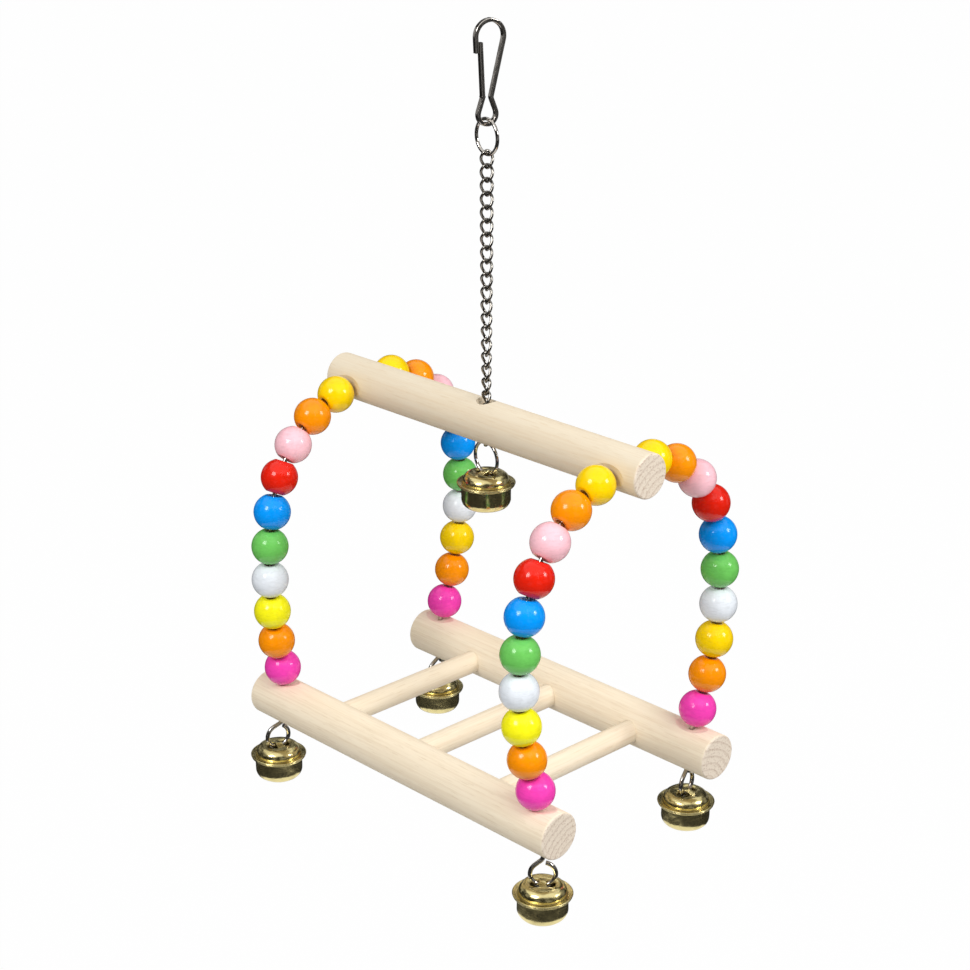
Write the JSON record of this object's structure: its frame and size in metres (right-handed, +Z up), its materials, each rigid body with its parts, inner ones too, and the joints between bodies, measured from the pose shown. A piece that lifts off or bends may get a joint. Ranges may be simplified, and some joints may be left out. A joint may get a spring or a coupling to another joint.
{
  "type": "hanging bird play gym",
  "caption": "Hanging wooden bird swing: a round perch and a rung ladder joined by arched wires strung with painted beads, with jingle bells, a chain and a snap hook.",
  "frame": {"origin": "where a cage bar bears on the inside of the snap hook's crook", "axes": "+X along the perch, +Y from the front rail to the rear rail, +Z up along the chain"},
  "size_m": [0.1417, 0.0994, 0.2589],
  "materials": {
    "wood": "bare sanded pale hardwood",
    "nickel": "nickel-plated steel wire",
    "brass": "polished brass sheet",
    "pellet_steel": "plain steel",
    "yellow_paint": "gloss-painted wood",
    "orange_paint": "gloss-painted wood",
    "pink_paint": "gloss-painted wood",
    "red_paint": "gloss-painted wood",
    "blue_paint": "gloss-painted wood",
    "green_paint": "gloss-painted wood",
    "white_paint": "gloss-painted wood",
    "lemon_paint": "gloss-painted wood",
    "magenta_paint": "gloss-painted wood"
  },
  "bodies": {
    "hook": {"hook_body": "nickel"},
    "gate": {"hook_gate": "nickel"},
    "top_ring": {"top_ring": "nickel"},
    "link_01": {"link_01": "nickel"},
    "link_02": {"link_02": "nickel"},
    "link_03": {"link_03": "nickel"},
    "link_04": {"link_04": "nickel"},
    "link_05": {"link_05": "nickel"},
    "link_06": {"link_06": "nickel"},
    "link_07": {"link_07": "nickel"},
    "link_08": {"link_08": "nickel"},
    "link_09": {"link_09": "nickel"},
    "link_10": {"link_10": "nickel"},
    "link_11": {"link_11": "nickel"},
    "link_12": {"link_12": "nickel"},
    "link_13": {"link_13": "nickel"},
    "link_14": {"link_14": "nickel"},
    "link_15": {"link_15": "nickel"},
    "link_16": {"link_16": "nickel"},
    "link_17": {"link_17": "nickel"},
    "link_18": {"link_18": "nickel"},
    "bore_links": {"link_19": "nickel", "link_20": "nickel", "link_21": "nickel", "link_22": "nickel"},
    "gym": {"top_perch": "wood", "front_rail": "wood", "rear_rail": "wood", "left_rung": "wood", "middle_rung": "wood", "right_rung": "wood", "left_arch_wire": "nickel", "right_arch_wire": "nickel", "yellow_beads": "yellow_paint", "orange_beads": "orange_paint", "pink_beads": "pink_paint", "red_beads": "red_paint", "blue_beads": "blue_paint", "green_beads": "green_paint", "white_beads": "white_paint", "lemon_beads": "lemon_paint", "magenta_beads": "magenta_paint"},
    "bell_ring": {"bell_ring": "nickel"},
    "front_left_bell": {"front_left_bell_cap": "brass", "front_left_bell_cup": "brass"},
    "front_left_pellet": {"front_left_bell_pellet": "pellet_steel"},
    "front_right_bell": {"front_right_bell_cap": "brass", "front_right_bell_cup": "brass"},
    "front_right_pellet": {"front_right_bell_pellet": "pellet_steel"},
    "rear_left_bell": {"rear_left_bell_cap": "brass", "rear_left_bell_cup": "brass"},
    "rear_left_pellet": {"rear_left_bell_pellet": "pellet_steel"},
    "rear_right_bell": {"rear_right_bell_cap": "brass", "rear_right_bell_cup": "brass"},
    "rear_right_pellet": {"rear_right_bell_pellet": "pellet_steel"},
    "centre_bell": {"centre_bell_cap": "brass", "centre_bell_cup": "brass"},
    "centre_pellet": {"centre_bell_pellet": "pellet_steel"}
  },
  "joints": [
    {"name": "clip_gate_open", "type": "hinge", "parent": "hook", "child": "gate", "pos_m": [-0.00039, -0.00146, -0.0217], "axis": [-0.9659, 0.2588, 0], "range_deg": [0, 15], "stiffness_Nm_per_rad": 0.05, "springref_deg": -8.59},
    {"name": "ring_top_swing", "type": "hinge", "parent": "hook", "child": "top_ring", "pos_m": [0, 0, -0.03], "axis": [0.2588, 0.9659, 0], "range_deg": [-35, 35]},
    {"name": "link_01_bend", "type": "hinge", "parent": "top_ring", "child": "link_01", "pos_m": [0, 0, -0.03898], "axis": [0.9903, -0.1392, 0], "range_deg": [-20, 20]},
    {"name": "link_02_bend", "type": "hinge", "parent": "link_01", "child": "link_02", "pos_m": [0, 0, -0.04306], "axis": [0.9903, -0.1392, 0], "range_deg": [-20, 20]},
    {"name": "link_03_bend", "type": "hinge", "parent": "link_02", "child": "link_03", "pos_m": [0, 0, -0.04624], "axis": [-0.2487, -0.9686, 0], "range_deg": [-20, 20]},
    {"name": "link_04_bend", "type": "hinge", "parent": "link_03", "child": "link_04", "pos_m": [0, 0, -0.05142], "axis": [-0.9686, 0.2487, 0], "range_deg": [-20, 20]},
    {"name": "link_05_bend", "type": "hinge", "parent": "link_04", "child": "link_05", "pos_m": [0, 0, -0.0546], "axis": [0.3551, 0.9348, 0], "range_deg": [-20, 20]},
    {"name": "link_06_bend", "type": "hinge", "parent": "link_05", "child": "link_06", "pos_m": [0, 0, -0.05978], "axis": [0.9348, -0.3551, 0], "range_deg": [-20, 20]},
    {"name": "link_07_bend", "type": "hinge", "parent": "link_06", "child": "link_07", "pos_m": [0, 0, -0.06296], "axis": [-0.4571, -0.8894, 0], "range_deg": [-20, 20]},
    {"name": "link_08_bend", "type": "hinge", "parent": "link_07", "child": "link_08", "pos_m": [0, 0, -0.06814], "axis": [-0.8894, 0.4571, 0], "range_deg": [-20, 20]},
    {"name": "link_09_bend", "type": "hinge", "parent": "link_08", "child": "link_09", "pos_m": [0, 0, -0.07132], "axis": [0.5534, 0.8329, 0], "range_deg": [-20, 20]},
    {"name": "link_10_bend", "type": "hinge", "parent": "link_09", "child": "link_10", "pos_m": [0, 0, -0.0765], "axis": [0.8329, -0.5534, 0], "range_deg": [-20, 20]},
    {"name": "link_11_bend", "type": "hinge", "parent": "link_10", "child": "link_11", "pos_m": [0, 0, -0.07968], "axis": [-0.6428, -0.766, 0], "range_deg": [-20, 20]},
    {"name": "link_12_bend", "type": "hinge", "parent": "link_11", "child": "link_12", "pos_m": [0, 0, -0.08486], "axis": [-0.766, 0.6428, 0], "range_deg": [-20, 20]},
    {"name": "link_13_bend", "type": "hinge", "parent": "link_12", "child": "link_13", "pos_m": [0, 0, -0.08804], "axis": [0.7242, 0.6896, 0], "range_deg": [-20, 20]},
    {"name": "link_14_bend", "type": "hinge", "parent": "link_13", "child": "link_14", "pos_m": [0, 0, -0.09322], "axis": [0.6896, -0.7242, 0], "range_deg": [-20, 20]},
    {"name": "link_15_bend", "type": "hinge", "parent": "link_14", "child": "link_15", "pos_m": [0, 0, -0.0964], "axis": [-0.7965, -0.6046, 0], "range_deg": [-20, 20]},
    {"name": "link_16_bend", "type": "hinge", "parent": "link_15", "child": "link_16", "pos_m": [0, 0, -0.10158], "axis": [-0.6046, 0.7965, 0], "range_deg": [-20, 20]},
    {"name": "link_17_bend", "type": "hinge", "parent": "link_16", "child": "link_17", "pos_m": [0, 0, -0.10476], "axis": [0.859, 0.512, 0], "range_deg": [-20, 20]},
    {"name": "link_18_bend", "type": "hinge", "parent": "link_17", "child": "link_18", "pos_m": [0, 0, -0.10994], "axis": [0.512, -0.859, 0], "range_deg": [-20, 20]},
    {"name": "link_19_bend", "type": "hinge", "parent": "link_18", "child": "bore_links", "pos_m": [0, 0, -0.11312], "axis": [-0.9107, -0.4131, 0], "range_deg": [-15, 15]},
    {"name": "gym_swivel", "type": "hinge", "parent": "bore_links", "child": "gym", "pos_m": [0, 0, -0.12293], "axis": [0, 0, 1], "continuous": true},
    {"name": "ring_under_perch_swing", "type": "hinge", "parent": "bore_links", "child": "bell_ring", "pos_m": [0, 0, -0.12974], "axis": [0.9976, -0.0698, 0], "range_deg": [-20, 20]},
    {"name": "bell_front_left_swing", "type": "hinge", "parent": "gym", "child": "front_left_bell", "pos_m": [-0.06094, -0.03834, -0.24492], "axis": [0.225, 0.9744, 0], "range_deg": [-40, 40]},
    {"name": "pellet_front_left_roll", "type": "hinge", "parent": "front_left_bell", "child": "front_left_pellet", "pos_m": [-0.06094, -0.03834, -0.18597], "axis": [0.225, 0.9744, 0], "range_deg": [-4, 4]},
    {"name": "bell_front_right_swing", "type": "hinge", "parent": "gym", "child": "front_right_bell", "pos_m": [0.0619, -0.036, -0.24662], "axis": [0.7071, 0.7071, 0], "range_deg": [-40, 40]},
    {"name": "pellet_front_right_roll", "type": "hinge", "parent": "front_right_bell", "child": "front_right_pellet", "pos_m": [0.0619, -0.036, -0.18767], "axis": [0.7071, 0.7071, 0], "range_deg": [-4, 4]},
    {"name": "bell_rear_left_swing", "type": "hinge", "parent": "gym", "child": "rear_left_bell", "pos_m": [-0.0612, 0.0352, -0.24492], "axis": [0, 1, 0], "range_deg": [-40, 40]},
    {"name": "pellet_rear_left_roll", "type": "hinge", "parent": "rear_left_bell", "child": "rear_left_pellet", "pos_m": [-0.0612, 0.0352, -0.18597], "axis": [0, 1, 0], "range_deg": [-4, 4]},
    {"name": "bell_rear_right_swing", "type": "hinge", "parent": "gym", "child": "rear_right_bell", "pos_m": [0.0562, 0.036, -0.24492], "axis": [-0.225, 0.9744, 0], "range_deg": [-40, 40]},
    {"name": "pellet_rear_right_roll", "type": "hinge", "parent": "rear_right_bell", "child": "rear_right_pellet", "pos_m": [0.0562, 0.036, -0.18597], "axis": [-0.225, 0.9744, 0], "range_deg": [-4, 4]},
    {"name": "bell_centre_swing", "type": "hinge", "parent": "bell_ring", "child": "centre_bell", "pos_m": [0, 0, -0.14034], "axis": [0.9976, -0.0698, 0], "range_deg": [-40, 40]},
    {"name": "pellet_centre_roll", "type": "hinge", "parent": "centre_bell", "child": "centre_pellet", "pos_m": [0, 0, -0.08161], "axis": [0.9976, -0.0698, 0], "range_deg": [-4, 4]}
  ]
}
